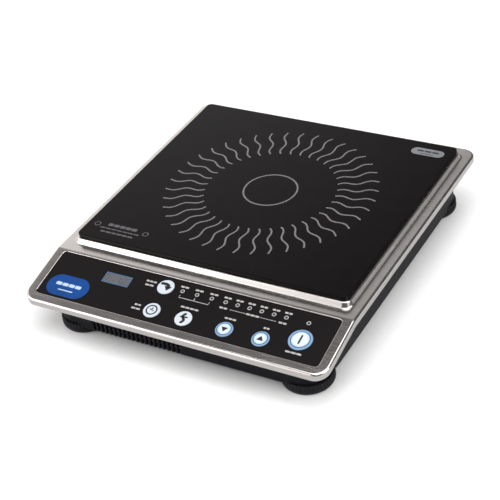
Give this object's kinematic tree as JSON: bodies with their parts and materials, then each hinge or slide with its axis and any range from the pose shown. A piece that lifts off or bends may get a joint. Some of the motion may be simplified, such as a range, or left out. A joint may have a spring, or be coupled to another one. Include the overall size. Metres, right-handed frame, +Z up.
{
  "type": "countertop induction cooktop",
  "caption": "Countertop induction cooktop with a black glass plate on a raised steel cover, a sloping button panel, and a vented base tray on round feet.",
  "frame": {"origin": "On the ground, under the middle of the outline of the body.", "axes": "+Z up, +Y to the rear, +X to the right of someone facing the controls, which are on the -Y side."},
  "size_m": [0.33, 0.364, 0.0715],
  "materials": {
    "brushed_steel": "brushed",
    "black_glass": "polished",
    "black_silicone": "matte",
    "overlay_film": "satin",
    "display_tint": "polished",
    "white_key": "satin",
    "blue_key": "satin",
    "black_epoxy": "matte",
    "clear_light": "polished",
    "circuit_board": "satin",
    "inner_plastic": "matte",
    "base_plastic": "satin",
    "foot_rubber": "matte",
    "zinc_steel": "satin",
    "copper_wire": "satin",
    "mica": "matte",
    "ferrite": "matte",
    "sink_aluminium": "satin",
    "white_silicone": "matte",
    "capacitor_case": "satin"
  },
  "bodies": {
    "housing": {"switch_preset_time": "black_epoxy", "switch_set_time": "black_epoxy", "switch_function": "black_epoxy", "switch_down": "black_epoxy", "switch_up": "black_epoxy", "switch_power": "black_epoxy", "control_overlay": "overlay_film", "display_window": "display_tint", "function_light_pipe": "clear_light", "level_light_pipe": "clear_light", "power_light_pipe": "clear_light", "control_board": "circuit_board", "display_module": "inner_plastic", "top_cover": "brushed_steel", "glass_plate": "black_glass", "glass_seal": "black_silicone", "base_tray": "base_plastic", "foot_1": "foot_rubber", "foot_screw_1": "zinc_steel", "foot_2": "foot_rubber", "foot_screw_2": "zinc_steel", "foot_3": "foot_rubber", "foot_screw_3": "zinc_steel", "foot_4": "foot_rubber", "foot_screw_4": "zinc_steel", "cover_screw_1": "zinc_steel", "cover_screw_2": "zinc_steel", "cover_screw_3": "zinc_steel", "cover_screw_4": "zinc_steel", "mica_sheet": "mica", "coil_winding": "copper_wire", "coil_carrier": "inner_plastic", "sensor_sleeve": "white_silicone", "temperature_sensor": "sink_aluminium", "ferrite_bar_1": "ferrite", "ferrite_bar_2": "ferrite", "ferrite_bar_3": "ferrite", "ferrite_bar_4": "ferrite", "ferrite_bar_5": "ferrite", "ferrite_bar_6": "ferrite", "carrier_screw_1": "zinc_steel", "carrier_screw_2": "zinc_steel", "carrier_screw_3": "zinc_steel", "heat_sink": "sink_aluminium", "power_board": "circuit_board", "power_transistor": "black_epoxy", "bridge_rectifier": "black_epoxy", "filter_choke": "copper_wire", "resonance_capacitor": "capacitor_case", "smoothing_capacitor": "capacitor_case", "fan_frame": "base_plastic", "cable_gland": "base_plastic"},
    "button_preset_time": {"button_preset_time": "white_key"},
    "button_set_time": {"button_set_time": "white_key"},
    "button_function": {"button_function": "white_key"},
    "button_down": {"button_down": "blue_key"},
    "button_up": {"button_up": "blue_key"},
    "button_power": {"button_power": "blue_key"},
    "fan_rotor": {"fan_rotor": "inner_plastic"}
  },
  "joints": [
    {"name": "press_preset_time", "type": "slide", "parent": "housing", "child": "button_preset_time", "axis": [0, 0.2079, -0.9781], "range_m": [0, 0.0006], "stiffness_N_per_m": 2500, "springref_m": -0.0001},
    {"name": "press_set_time", "type": "slide", "parent": "housing", "child": "button_set_time", "axis": [0, 0.2079, -0.9781], "range_m": [0, 0.0006], "stiffness_N_per_m": 2500, "springref_m": -0.0001},
    {"name": "press_function", "type": "slide", "parent": "housing", "child": "button_function", "axis": [0, 0.2079, -0.9781], "range_m": [0, 0.0006], "stiffness_N_per_m": 2500, "springref_m": -0.0001},
    {"name": "press_down", "type": "slide", "parent": "housing", "child": "button_down", "axis": [0, 0.2079, -0.9781], "range_m": [0, 0.0006], "stiffness_N_per_m": 2500, "springref_m": -0.0001},
    {"name": "press_up", "type": "slide", "parent": "housing", "child": "button_up", "axis": [0, 0.2079, -0.9781], "range_m": [0, 0.0006], "stiffness_N_per_m": 2500, "springref_m": -0.0001},
    {"name": "press_power", "type": "slide", "parent": "housing", "child": "button_power", "axis": [0, 0.2079, -0.9781], "range_m": [0, 0.0006], "stiffness_N_per_m": 2500, "springref_m": -0.0001},
    {"name": "fan_spin", "type": "hinge", "parent": "housing", "child": "fan_rotor", "pos_m": [-0.052, -0.104, 0.024], "axis": [0, 0, 1], "continuous": true}
  ]
}
